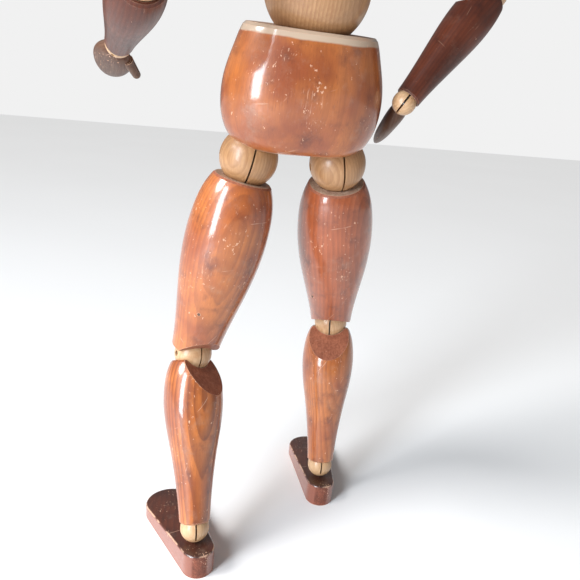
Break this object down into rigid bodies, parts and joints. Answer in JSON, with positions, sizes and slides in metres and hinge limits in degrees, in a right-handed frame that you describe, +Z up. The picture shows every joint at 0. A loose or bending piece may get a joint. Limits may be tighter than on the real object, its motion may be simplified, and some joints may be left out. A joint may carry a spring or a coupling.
{
  "type": "artist mannequin",
  "caption": "Jointed wooden lay figure on split balls, standing in a relaxed pose; every limb turns and bends and stays where it is put.",
  "frame": {"origin": "middle of the bounding box, on the surface the soles stand on", "axes": "+Z up, the figure faces -Y, its own left side is +X"},
  "size_m": [0.2542, 0.1674, 0.5923],
  "materials": {
    "lacquered_maple": "amber to red-brown lacquer, worn",
    "dark_lacquered_wood": "dark red-brown lacquer, worn at the edges",
    "bare_wood": "pale wood, thinly sealed",
    "steel": "spring steel"
  },
  "bodies": {
    "pelvis": {"pelvis": "lacquered_maple", "pelvis_brads": "steel"},
    "waist_ball": {"waist_ball": "bare_wood", "waist_pivot": "steel"},
    "waist_link": {"waist_link": "steel"},
    "chest": {"chest": "lacquered_maple", "chest_brads": "steel"},
    "neck_ball": {"neck_ball": "bare_wood", "neck_pivot": "steel"},
    "neck_link": {"neck_link": "steel"},
    "head": {"head": "lacquered_maple"},
    "hip_ball_l": {"hip_l_ball": "bare_wood", "hip_l_pivot": "steel"},
    "hip_link_l": {"hip_l_link": "steel"},
    "thigh_l": {"thigh_l": "lacquered_maple", "knee_l_ball": "bare_wood", "knee_l_pivot": "steel"},
    "knee_link_l": {"knee_l_link": "steel"},
    "shin_l": {"shin_l": "lacquered_maple"},
    "ankle_link_l": {"ankle_l_link": "steel"},
    "ankle_ball_l": {"ankle_l_ball": "bare_wood", "ankle_l_pins": "steel"},
    "foot_l": {"foot_l": "dark_lacquered_wood"},
    "shoulder_ball_l": {"shoulder_l_ball": "bare_wood", "shoulder_l_pivot": "steel"},
    "shoulder_link_l": {"shoulder_l_link": "steel"},
    "upper_arm_l": {"upper_arm_l": "lacquered_maple", "elbow_l_ball": "bare_wood", "elbow_l_pivot": "steel"},
    "elbow_link_l": {"elbow_l_link": "steel"},
    "forearm_l": {"forearm_l": "dark_lacquered_wood"},
    "wrist_link_l": {"wrist_l_link": "steel"},
    "hand_l": {"hand_l": "dark_lacquered_wood", "wrist_l_ball": "bare_wood", "wrist_l_pins": "steel"},
    "hip_ball_r": {"hip_r_ball": "bare_wood", "hip_r_pivot": "steel"},
    "hip_link_r": {"hip_r_link": "steel"},
    "thigh_r": {"thigh_r": "lacquered_maple", "knee_r_ball": "bare_wood", "knee_r_pivot": "steel"},
    "knee_link_r": {"knee_r_link": "steel"},
    "shin_r": {"shin_r": "lacquered_maple"},
    "ankle_link_r": {"ankle_r_link": "steel"},
    "ankle_ball_r": {"ankle_r_ball": "bare_wood", "ankle_r_pins": "steel"},
    "foot_r": {"foot_r": "dark_lacquered_wood"},
    "shoulder_ball_r": {"shoulder_r_ball": "bare_wood", "shoulder_r_pivot": "steel"},
    "shoulder_link_r": {"shoulder_r_link": "steel"},
    "upper_arm_r": {"upper_arm_r": "lacquered_maple", "elbow_r_ball": "bare_wood", "elbow_r_pivot": "steel"},
    "elbow_link_r": {"elbow_r_link": "steel"},
    "forearm_r": {"forearm_r": "dark_lacquered_wood"},
    "wrist_link_r": {"wrist_r_link": "steel"},
    "hand_r": {"hand_r": "dark_lacquered_wood", "wrist_r_ball": "bare_wood", "wrist_r_pins": "steel"}
  },
  "joints": [
    {"name": "waist_turn", "type": "hinge", "parent": "pelvis", "child": "waist_ball", "pos_m": [0.00148, 0.00895, 0.37984], "axis": [0, 0.1305, 0.9914], "range_deg": [-90, 90]},
    {"name": "waist_bend", "type": "hinge", "parent": "waist_ball", "child": "waist_link", "pos_m": [0.00148, 0.00895, 0.37984], "axis": [0.1736, 0.9764, -0.1285], "range_deg": [-4, 12]},
    {"name": "chest_turn", "type": "hinge", "parent": "waist_link", "child": "chest", "pos_m": [0.00148, 0.00895, 0.37984], "axis": [0.1371, 0.1053, 0.985], "range_deg": [-90, 90]},
    {"name": "neck_turn", "type": "hinge", "parent": "chest", "child": "neck_ball", "pos_m": [0.01806, 0.02169, 0.49901], "axis": [0.1371, 0.1053, 0.985], "range_deg": [-90, 90]},
    {"name": "neck_bend", "type": "hinge", "parent": "neck_ball", "child": "neck_link", "pos_m": [0.01806, 0.02169, 0.49901], "axis": [0.3404, 0.9288, -0.1467], "range_deg": [-14, 30]},
    {"name": "head_turn", "type": "hinge", "parent": "neck_link", "child": "head", "pos_m": [0.01806, 0.02169, 0.49901], "axis": [0.0063, 0.1537, 0.9881], "range_deg": [-90, 90]},
    {"name": "hip_turn_l", "type": "hinge", "parent": "pelvis", "child": "hip_ball_l", "pos_m": [0.03198, -0.00423, 0.2797], "axis": [-0.1908, 0.1281, 0.9732], "range_deg": [-90, 90]},
    {"name": "hip_bend_l", "type": "hinge", "parent": "hip_ball_l", "child": "hip_link_l", "pos_m": [0.03198, -0.00423, 0.2797], "axis": [0.9779, -0.0616, 0.1998], "range_deg": [-48, 32]},
    {"name": "thigh_turn_l", "type": "hinge", "parent": "hip_link_l", "child": "thigh_l", "pos_m": [0.03198, -0.00423, 0.2797], "axis": [-0.195, 0.0761, 0.9778], "range_deg": [-90, 90]},
    {"name": "knee_bend_l", "type": "hinge", "parent": "thigh_l", "child": "knee_link_l", "pos_m": [0.06061, -0.01541, 0.13615], "axis": [0.938, 0.3058, 0.1633], "range_deg": [-45, 32]},
    {"name": "shin_turn_l", "type": "hinge", "parent": "knee_link_l", "child": "shin_l", "pos_m": [0.06061, -0.01541, 0.13615], "axis": [-0.0069, -0.4544, 0.8908], "range_deg": [-25, 25]},
    {"name": "ankle_turn_l", "type": "hinge", "parent": "shin_l", "child": "ankle_link_l", "pos_m": [0.06146, 0.04012, 0.0273], "axis": [-0.0069, -0.4544, 0.8908], "range_deg": [-90, 90]},
    {"name": "ankle_bend_l", "type": "hinge", "parent": "ankle_link_l", "child": "ankle_ball_l", "pos_m": [0.06146, 0.04012, 0.0273], "axis": [0.9999, -0.0152, 0], "range_deg": [-18, 72]},
    {"name": "foot_turn_l", "type": "hinge", "parent": "ankle_ball_l", "child": "foot_l", "pos_m": [0.06146, 0.04012, 0.0273], "axis": [0, 0, 1], "range_deg": [-90, 90]},
    {"name": "arm_swing_l", "type": "hinge", "parent": "chest", "child": "shoulder_ball_l", "pos_m": [0.07892, 0.02872, 0.45629], "axis": [-0.9758, -0.1567, 0.1525], "range_deg": [-90, 90]},
    {"name": "arm_raise_l", "type": "hinge", "parent": "shoulder_ball_l", "child": "shoulder_link_l", "pos_m": [0.07892, 0.02872, 0.45629], "axis": [0.081, -0.9069, -0.4135], "range_deg": [-6, 66]},
    {"name": "upper_arm_turn_l", "type": "hinge", "parent": "shoulder_link_l", "child": "upper_arm_l", "pos_m": [0.07892, 0.02872, 0.45629], "axis": [-0.2105, -0.4211, 0.8823], "range_deg": [-28, 90]},
    {"name": "elbow_bend_l", "type": "hinge", "parent": "upper_arm_l", "child": "elbow_link_l", "pos_m": [0.10103, 0.07293, 0.36366], "axis": [0.9662, 0.0474, 0.2532], "range_deg": [-3, 100]},
    {"name": "forearm_turn_l", "type": "hinge", "parent": "elbow_link_l", "child": "forearm_l", "pos_m": [0.10103, 0.07293, 0.36366], "axis": [-0.1203, 0.9522, 0.2807], "range_deg": [-9, 9]},
    {"name": "wrist_turn_l", "type": "hinge", "parent": "forearm_l", "child": "wrist_link_l", "pos_m": [0.11185, -0.01277, 0.3384], "axis": [-0.1203, 0.9522, 0.2807], "range_deg": [-90, 90]},
    {"name": "wrist_bend_l", "type": "hinge", "parent": "wrist_link_l", "child": "hand_l", "pos_m": [0.11185, -0.01277, 0.3384], "axis": [-0.4259, -0.3049, 0.8518], "range_deg": [-72, 70]},
    {"name": "hip_turn_r", "type": "hinge", "parent": "pelvis", "child": "hip_ball_r", "pos_m": [-0.02902, -0.00423, 0.2797], "axis": [0.1908, 0.1281, 0.9732], "range_deg": [-90, 90]},
    {"name": "hip_bend_r", "type": "hinge", "parent": "hip_ball_r", "child": "hip_link_r", "pos_m": [-0.02902, -0.00423, 0.2797], "axis": [0.9792, -0.094, -0.1796], "range_deg": [-33, 46]},
    {"name": "thigh_turn_r", "type": "hinge", "parent": "hip_link_r", "child": "thigh_r", "pos_m": [-0.02902, -0.00423, 0.2797], "axis": [0.2006, 0.3207, 0.9257], "range_deg": [-90, 90]},
    {"name": "knee_bend_r", "type": "hinge", "parent": "thigh_r", "child": "knee_link_r", "pos_m": [-0.05847, -0.05131, 0.14381], "axis": [0.9163, -0.3957, -0.0614], "range_deg": [-51, 26]},
    {"name": "shin_turn_r", "type": "hinge", "parent": "knee_link_r", "child": "shin_r", "pos_m": [-0.05847, -0.05131, 0.14381], "axis": [-0.0634, -0.2949, 0.9534], "range_deg": [-25, 25]},
    {"name": "ankle_turn_r", "type": "hinge", "parent": "shin_r", "child": "ankle_link_r", "pos_m": [-0.05072, -0.01528, 0.0273], "axis": [-0.0634, -0.2949, 0.9534], "range_deg": [-90, 90]},
    {"name": "ankle_bend_r", "type": "hinge", "parent": "ankle_link_r", "child": "ankle_ball_r", "pos_m": [-0.05072, -0.01528, 0.0273], "axis": [0.9776, -0.2103, 0], "range_deg": [-27, 62]},
    {"name": "foot_turn_r", "type": "hinge", "parent": "ankle_ball_r", "child": "foot_r", "pos_m": [-0.05072, -0.01528, 0.0273], "axis": [0, 0, 1], "range_deg": [-90, 90]},
    {"name": "arm_swing_r", "type": "hinge", "parent": "chest", "child": "shoulder_ball_r", "pos_m": [-0.05184, 0.00772, 0.47673], "axis": [0.9758, 0.1567, -0.1525], "range_deg": [-90, 90]},
    {"name": "arm_raise_r", "type": "hinge", "parent": "shoulder_ball_r", "child": "shoulder_link_r", "pos_m": [-0.05184, 0.00772, 0.47673], "axis": [-0.1483, 0.9868, 0.0646], "range_deg": [-1, 61]},
    {"name": "upper_arm_turn_r", "type": "hinge", "parent": "shoulder_link_r", "child": "upper_arm_r", "pos_m": [-0.05184, 0.00772, 0.47673], "axis": [0.6107, 0.04, 0.7909], "range_deg": [-90, 90]},
    {"name": "elbow_bend_r", "type": "hinge", "parent": "upper_arm_r", "child": "elbow_link_r", "pos_m": [-0.11596, 0.00352, 0.39369], "axis": [-0.1309, 0.9901, 0.051], "range_deg": [-3, 80]},
    {"name": "forearm_turn_r", "type": "hinge", "parent": "elbow_link_r", "child": "forearm_r", "pos_m": [-0.11596, 0.00352, 0.39369], "axis": [-0.6005, -0.1201, 0.7906], "range_deg": [-60, 12]},
    {"name": "wrist_turn_r", "type": "hinge", "parent": "forearm_r", "child": "wrist_link_r", "pos_m": [-0.06192, 0.01433, 0.32254], "axis": [-0.6005, -0.1201, 0.7906], "range_deg": [-90, 12]},
    {"name": "wrist_bend_r", "type": "hinge", "parent": "wrist_link_r", "child": "hand_r", "pos_m": [-0.06192, 0.01433, 0.32254], "axis": [-0.7585, 0.3987, -0.5155], "range_deg": [-25, 0]}
  ]
}
